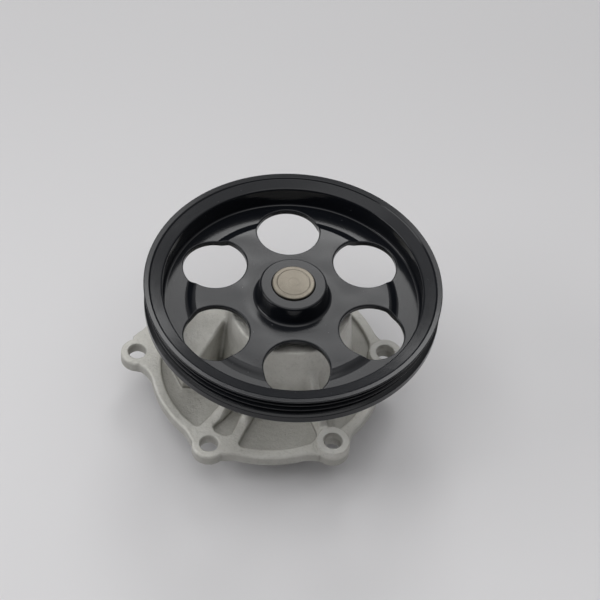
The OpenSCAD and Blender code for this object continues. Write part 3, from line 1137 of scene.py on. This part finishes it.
@dataclass
class PumpCasting:
    """The cover casting, as one smooth field of distances made into a mesh."""

    centre: Point = (-10.6, -4.7)
    axis: Point = (0.0, 0.0)
    flange_r: float = 62.3
    border_r: float = 56.8
    flange_t: float = 7.0
    flange_draft: float = 0.02
    floor_z: float = 4.0
    pocket_draft: float = 0.06
    ear_r: float = 8.8
    neck_from: float = 40.0
    bolt_r: float = 4.8
    spot_z: float = 10.5
    root_z: float = 1.0
    tower_foot_r: float = 35.5
    tower_top_r: float = 31.0
    tower_z: float = 47.5
    block_z: float = 32.0
    block_draft: float = 0.015
    slot_round: float = 1.9
    boss_r: float = 22.5
    boss_z: Band = (-4.0, 3.0)
    # radius, lower end, upper end and edge of the bearing, middle and seal bores
    bores: tuple[tuple[float, float, float, float], ...] = (
        (23.5, 13.5, PAST_END, 0.5),
        (19.0, 9.0, 19.0, 0.2),
        (17.5, -PAST_END, 11.0, 0.4),
    )
    gasket_r: float = 47.8
    gasket_half: float = 1.4
    gasket_depth: float = 1.9
    drain_turn: float = 62.0
    drain_r: float = 2.2
    drain_z: float = 11.0
    drain_from: float = 10.0
    ears: Outline = ((-80.3, -1.1), (-39.9, -59.1), (23.6, -57.2), (52.5, 1.5), (-16.0, 50.0))
    spots: Outline = ((23.6, -57.2), (52.5, 1.5))
    ribs: tuple[Rib, ...] = (
        Rib((-47.0, -55.6), 52.1, 6.5, (-36.8, -42.6), 18.0, 24.0),
        Rib((-29.0, -61.2), 68.2, 5.9, (-22.9, -46.2), 18.0, 24.0),
        Rib((22.6, -58.5), 111.0, 6.4, (20.2, -52.1), 26.0, 38.0),
        Rib((-16.0, 55.0), -90.0, 7.0, (-16.0, 44.0), 18.0, 30.0),
    )
    cut_corner: Outline = (
        (-90, 20), (-64, 20), (-57, 33), (-40, 43.5), (-28, 48), (-8, 55), (10, 80), (-90, 80),
    )
    full_corner: Outline = (
        (-82, 8.6), (-77.3, 15.8), (-68, 27), (-56, 37), (-40, 43.5), (-20, 30), (-20, 0),
        (-72, -4),
    )
    pocket_limit: Outline = (
        (-70, -90), (80, -90), (80, 80), (8, 80), (-2, 44), (-26, 40), (-50, 31), (-64, 18),
        (-70, -6),
    )
    block: Outline = (
        (-20, 30), (-34.4, 20), (-56, 12), (-61, 4), (-60, -12), (-55, -22), (-45.6, -22.4),
        (-27.2, 14.9), (-18, 20),
    )
    web: Outline = ((-47, -55.6), (-29, -61.2), (-16.4, -29.6), (-26.1, -28.8))
    slot: Outline = (
        (-29.4, -40.5), (-36.0, -48.7), (-35.6, -49.7), (-31.6, -51.6), (-29.8, -50.9),
        (-26.0, -41.5), (-23.5, -35.0), (-26.5, -35.0),
    )

    def outline(self, x: np.ndarray, y: np.ndarray) -> np.ndarray:
        """Distance to the flange's outline, with its ears blended in.

        Args:
            x: first coordinate.
            y: second coordinate.

        Returns:
            Signed distance in the plane, in millimetres.
        """
        shape = common(disc(x, y, self.centre, self.flange_r), -prism(x, y, self.cut_corner), 3.0)
        shape = joined(shape, prism(x, y, self.full_corner), 3.0)
        for ear in self.ears:
            dx, dy = ear[0] - self.centre[0], ear[1] - self.centre[1]
            far, angle = math.hypot(dx, dy), math.degrees(math.atan2(dy, dx))
            along, side = strip(x, y, self.centre, angle)
            share = (far - along) / (far - self.neck_from)
            taper = self.ear_r * (0.93 + 0.62 * np.clip(share, 0.0, 1.0))
            neck = common(side - taper, np.maximum(along - far, self.neck_from - along), 0.2)
            shape = joined(shape, neck, 8.0)
            shape = joined(shape, disc(x, y, ear, self.ear_r), 1.0)
        return shape

    def pocket(self, x: np.ndarray, y: np.ndarray) -> np.ndarray:
        """Distance to the sunk pockets between border, tower, block, ears and ribs.

        Args:
            x: first coordinate.
            y: second coordinate.

        Returns:
            Signed distance in the plane, in millimetres.
        """
        shape = common(disc(x, y, self.centre, self.border_r), prism(x, y, self.pocket_limit), 4.0)
        shape = common(shape, -disc(x, y, self.axis, self.tower_foot_r - 0.6), 1.0)
        shape = common(shape, -prism(x, y, self.block), 1.0)
        for ear in self.ears:
            shape = common(shape, -disc(x, y, ear, self.ear_r + 0.4), 2.5)
        for rib in self.ribs:
            along, side = strip(x, y, rib.start, rib.angle)
            bar = np.maximum(side - rib.width / 2.0, np.maximum(-along, along - 34.0))
            shape = common(shape, -bar, 2.5)
        shape = common(shape, -prism(x, y, self.web), 1.0)
        away = -disc(x, y, self.axis, self.tower_foot_r)
        return np.minimum(shape, common(prism(x, y, self.slot) - self.slot_round, away, 1.0))

    def gusset(self, x: np.ndarray, y: np.ndarray, z: np.ndarray, rib: Rib) -> np.ndarray:
        """Distance to a rib's sloping wall, which climbs from the flange to the tower.

        Args:
            x: first coordinate.
            y: second coordinate.
            z: height.
            rib: the rib.

        Returns:
            Signed distance in millimetres.
        """
        along, side = strip(x, y, rib.foot, rib.angle)
        pitch = (rib.top - self.flange_t) / rib.run
        roof = (z - self.flange_t + 1.2 - along * pitch) / math.hypot(1.0, pitch)
        wall = side - (rib.width * 0.82 / 2.0 - (z - self.flange_t) * 0.012)
        ends = np.maximum(np.maximum(2.0 - z, -3.0 - along), along - rib.run - 4.0)
        return np.maximum(common(wall, roof, 1.9), ends)

    def field(self, x: np.ndarray, y: np.ndarray, z: np.ndarray) -> np.ndarray:
        """Signed distance to the whole casting, negative inside the metal.

        Args:
            x: first coordinate, in a shape that spreads against y and z.
            y: second coordinate.
            z: height.

        Returns:
            The distance in millimetres, true near the surface.
        """
        plan = self.outline(x, y) + z * self.flange_draft
        under = self.root_z - z
        body = common(common(plan, z - self.flange_t, 1.1), -z, 0.25)
        pocket = self.pocket(x, y) - (z - self.floor_z) * self.pocket_draft
        body = common(body, -common(pocket, self.floor_z - z, 0.9), 0.9)
        for spot in self.spots:
            pad = common(disc(x, y, spot, self.ear_r), z - self.spot_z, 0.7)
            body = joined(body, np.maximum(pad, under), 0.9)
        out = np.hypot(x, y)
        lean = (self.tower_foot_r - self.tower_top_r) / (self.tower_z - self.root_z)
        side = (out - self.tower_foot_r - under * lean) / math.hypot(1.0, lean)
        tower = common(side, z - self.tower_z, 1.0)
        wall = prism(x, y, self.block) + (z - 2.0) * self.block_draft
        box = common(wall, z - self.block_z, 1.6)
        tall = joined(np.maximum(tower, under), np.maximum(box, under), 3.2)
        for rib in self.ribs:
            tall = joined(tall, self.gusset(x, y, z, rib), 1.8)
        body = common(joined(body, tall, 2.0), -z, 0.25)
        low, high = self.boss_z
        boss = common(out - self.boss_r, np.maximum(low - z, z - high), 0.5)
        body = joined(body, boss, 0.3)
        for ear in self.ears:
            body = common(body, -disc(x, y, ear, self.bolt_r), 0.45)
        ring = np.abs(disc(x, y, self.centre, self.gasket_r)) - self.gasket_half
        body = common(body, -np.maximum(ring, z - self.gasket_depth), 0.15)
        for radius, low, high, edge in self.bores:
            hole = np.maximum(out - radius, np.maximum(low - z, z - high))
            body = common(body, -hole, edge)
        along, across = strip(x, y, self.axis, self.drain_turn)
        reach = np.hypot(across, z - self.drain_z) - self.drain_r
        return common(body, -np.maximum(reach, self.drain_from - along), 0.3)


@dataclass
class Netting:
    """Meshes a field of distances: one point to each cell that the surface crosses."""

    low: tuple[float, float, float]
    high: tuple[float, float, float]
    step: float
    settling: int = 6
    corner: ClassVar[np.ndarray] = np.array([(n >> 2, n >> 1 & 1, n & 1) for n in range(8)])
    edge: ClassVar[np.ndarray] = np.array(
        [(a, a + gap) for gap in (1, 2, 4) for a in range(8) if not a & gap]
    )

    def cast(self, field: Field) -> Shell:
        """Makes the net.

        A cell's point is the mean of the places where the surface crosses its
        edges, taken between the corner distances by proportion. Every grid
        edge that the surface crosses gives one face, from its four cells. The
        points then move down the field's slope until they lie on the surface.

        Args:
            field: signed distance, negative inside.

        Returns:
            The closed surface with the field's own normals.
        """
        axes = [np.arange(a, b + self.step, self.step) for a, b in zip(self.low, self.high)]
        x, y, z = axes[0][:, None, None], axes[1][None, :, None], axes[2][None, None, :]
        depth = np.broadcast_to(field(x, y, z), tuple(len(a) for a in axes))
        inside = depth < 0.0
        shape = tuple(n - 1 for n in inside.shape)
        count = np.zeros(shape, np.int8)
        for i, j, k in self.corner:
            count += inside[i : i + shape[0], j : j + shape[1], k : k + shape[2]]
        cells = np.argwhere((count > 0) & (count < 8))
        number = np.full(shape, -1, np.int64)
        number[tuple(cells.T)] = np.arange(len(cells))
        held = depth[tuple((cells[:, None, :] + self.corner[None]).transpose(2, 0, 1))]
        one, two = held[:, self.edge[:, 0]], held[:, self.edge[:, 1]]
        cross = (one < 0.0) != (two < 0.0)
        share = np.where(cross, one / np.where(one == two, 1.0, one - two), 0.0)[..., None]
        base, tip = self.corner[self.edge[:, 0]], self.corner[self.edge[:, 1]]
        spots = (base + share * (tip - base)) * cross[..., None]
        mean = spots.sum(1) / cross.sum(1)[:, None]
        points = np.array(self.low) + (cells + mean) * self.step
        faces = np.concatenate([self.crossings(inside, number, way) for way in range(3)])
        normals = np.zeros_like(points)
        for _ in range(self.settling):
            value, slope = self.slope(field, points)
            size = np.maximum((slope**2).sum(1, keepdims=True), 0.05)
            shift = np.clip(value[:, None] * slope / size, -0.4 * self.step, 0.4 * self.step)
            points = points - shift
            normals = slope / np.sqrt(size)
        return Shell(points, normals, faces, self.hollows(field, points, normals))

    @staticmethod
    def hollows(field: Field, points: np.ndarray, normals: np.ndarray) -> np.ndarray:
        """How hollow or proud the surface is at each point; the casting's material paints shade in
        its creases and a highlight on its edges from it.

        Half of it is one less the free distance found a short way out along
        the normal, over that way, at two lengths; edges count the other way,
        by the metal found as far in.

        Args:
            field: signed distance.
            points: points of the surface.
            normals: its outward normals.

        Returns:
            About 0.5 on flat ground, up to 1 in creases and down to 0 on edges.
        """
        near, far, inward = 0.9, 3.0, 0.9
        crease = 1.0 - field(*(points + normals * near).T) / near
        well = 1.0 - field(*(points + normals * far).T) / far
        edge = 1.0 + field(*(points - normals * inward).T) / inward
        return np.clip(0.5 + 0.35 * crease + 0.35 * well - 0.6 * edge, 0.0, 1.0)

    @staticmethod
    def slope(field: Field, points: np.ndarray) -> tuple[np.ndarray, np.ndarray]:
        """The field and its gradient, by central differences of a fiftieth of a millimetre.

        Args:
            field: signed distance.
            points: places to try it.

        Returns:
            Its value and its gradient at each point.
        """
        tiny = 0.02
        value = field(*points.T)
        parts = [
            (field(*(points + move).T) - field(*(points - move).T)) / (2.0 * tiny)
            for move in np.eye(3) * tiny
        ]
        return value, np.stack(parts, 1)

    @staticmethod
    def crossings(inside: np.ndarray, number: np.ndarray, way: int) -> np.ndarray:
        """Faces across the grid edges that run one way.

        Args:
            inside: whether each grid point is in the metal.
            number: the point's number of each cell.
            way: the axis of the edges.

        Returns:
            Four cell points to a face, turned to point out of the metal.
        """
        turned = np.moveaxis(inside, way, 0)
        cells = np.moveaxis(number, way, 0)
        first, second = turned[:-1, 1:-1, 1:-1], turned[1:, 1:-1, 1:-1]
        i, j, k = np.nonzero(first != second)
        ring = [cells[i, j, k], cells[i, j + 1, k], cells[i, j + 1, k + 1], cells[i, j, k + 1]]
        faces = np.stack(ring, 1)
        flip = first[i, j, k] != (way == 1)
        faces[~flip] = faces[~flip][:, ::-1]
        return faces


# ---------------------------------------------------------------- inner pieces


@dataclass
class InnerWorks:
    """The CAD nodes that keep their own shape and get a finish each."""

    rebuilt: tuple[str, ...] = ("housing", "pulley_rim", "pulley_web", "pulley_hub", "shaft")

    def dress(self, paints: Paintbox) -> None:
        """Gives each node the finish of its slot in the record, all over its object.

        Args:
            paints: the paintbox.
        """
        for part in frame["record"]["subparts"]:
            name, slot = part["node"], Slot(part["material_slot"])
            if name in self.rebuilt:
                continue
            node = frame["nodes"][name]
            for place in node.material_slots:
                place.material = paints.pick(slot)
            if not node.material_slots:
                node.data.materials.append(paints.pick(slot))
            LOG.info("%s: %s", name, slot.value)


# ---------------------------------------------------------------------- studio


@dataclass
class SoftBox:
    """A large rectangular light."""

    name: str
    place: tuple[float, float, float]
    target: tuple[float, float, float]
    size: tuple[float, float]
    radiance: float

    def hang(self) -> None:
        """Makes the light: its power is radiance times pi times its area."""
        lamp = bpy.data.lights.new(self.name, "AREA")
        lamp.shape = "RECTANGLE"
        lamp.size, lamp.size_y = self.size
        lamp.energy = self.radiance * math.pi * self.size[0] * self.size[1]
        holder = bpy.data.objects.new(self.name, lamp)
        aim = Vector(self.target) - Vector(self.place)
        holder.rotation_euler = aim.to_track_quat("-Z", "Y").to_euler()
        holder.location = self.place
        bpy.context.scene.collection.objects.link(holder)


@dataclass
class Studio:
    """Pale floor, soft boxes, even surroundings and the camera, in metres."""

    floor_z: float = -0.02004
    horizon: float = 0.12
    zenith: float = 0.90
    front_share: float = 0.26
    boxes: tuple[SoftBox, ...] = (
        SoftBox("box_rear_low", (0.08, 1.08, 1.03), (0.0, 0.0, 0.05), (0.52, 0.26), 5.2),
        SoftBox("box_rear_high", (0.07, 0.90, 1.26), (0.0, 0.0, 0.05), (0.52, 0.34), 2.4),
        SoftBox("box_over", (-0.10, -0.30, 1.70), (-0.05, -0.25, 0.0), (1.8, 1.4), 0.85),
        SoftBox("box_left", (-1.35, -0.10, 0.78), (0.0, 0.0, 0.0), (0.9, 0.7), 3.1),
    )

    def floor(self) -> None:
        """Lays the floor: a flat disc worked out on rings and angles."""
        rings = np.concatenate([[0.0], np.geomspace(0.2, 7.0, 18)])[:, None]
        turns = 72
        angle = np.linspace(0.0, 2.0 * math.pi, turns, endpoint=False)
        flat = [rings * np.cos(angle), rings * np.sin(angle), self.floor_z + 0.0 * rings * angle]
        points = np.stack(flat, -1).reshape(-1, 3)
        faces = grid_faces(len(rings), turns, False, True)
        mesh = bpy.data.meshes.new("studio_floor")
        mesh.from_pydata(points.tolist(), [], faces.tolist())
        mesh.validate()
        mesh.materials.append(PaleSheet("pale_floor_sheet").make())
        floor = bpy.data.objects.new("studio_floor", mesh)
        bpy.context.scene.collection.objects.link(floor)

    def surroundings(self) -> None:
        """Sets the even light from all round."""
        world = bpy.data.worlds.new("studio_air")
        world.use_nodes = True
        book = NodeBook("studio_air", world.node_tree)
        way = book.add("ShaderNodeTexCoord", {}, {}, "Generated")
        rise = book.axis(way, "Z")
        front = book.axis(way, "Y").ramp(-0.9, 0.1, self.front_share, 1.0)
        strength = (self.horizon + rise * rise * self.zenith) * front
        air = {"Color": (1.0, 0.995, 1.0, 1.0), "Strength": strength}
        glow = book.add("ShaderNodeBackground", {}, air)
        book.add("ShaderNodeOutputWorld", {}, {"Surface": glow})
        bpy.context.scene.world = world
        bpy.context.scene.view_settings.view_transform = "Standard"

    def camera(self) -> None:
        """Stands the camera above the front, looking down along the rear and to the pulley."""
        lens = bpy.data.cameras.new("front_camera")
        lens.lens, lens.sensor_width = 96.0, 36.0
        lens.clip_start, lens.clip_end = 0.02, 40.0
        camera = bpy.data.objects.new("front_camera", lens)
        right = Vector((0.99827, 0.0, 0.05884))
        ahead = Vector((0.04531, 0.63798, -0.76871))
        up = right.cross(ahead)
        turn = Matrix((right, up, -ahead)).transposed().to_4x4()
        camera.matrix_world = Matrix.Translation((-0.03325, -0.5254, 0.6863)) @ turn
        bpy.context.scene.collection.objects.link(camera)
        bpy.context.scene.camera = camera

    def build(self) -> None:
        """Sets up everything round the object."""
        self.camera()
        self.floor()
        self.surroundings()
        for box in self.boxes:
            box.hang()


def main() -> None:
    """Builds the object and its studio, and reports each piece."""
    logging.basicConfig(level=logging.INFO, format="%(name)s %(message)s")
    Studio().build()
    paints = Paintbox()
    shop = Workshop(paints)
    PulleyWheel().build(shop)
    DriveShaft().build(shop)
    casting = PumpCasting()
    net = Netting((-90.5, -70.0, -5.5), (62.5, 60.5, 49.0), 0.8)
    shop.build(
        "cover_casting", net.cast(casting.field), Slot.CAST_ALLOY, Body.CASTING, "housing"
    )
    InnerWorks().dress(paints)


if __name__ == "__main__":
    main()
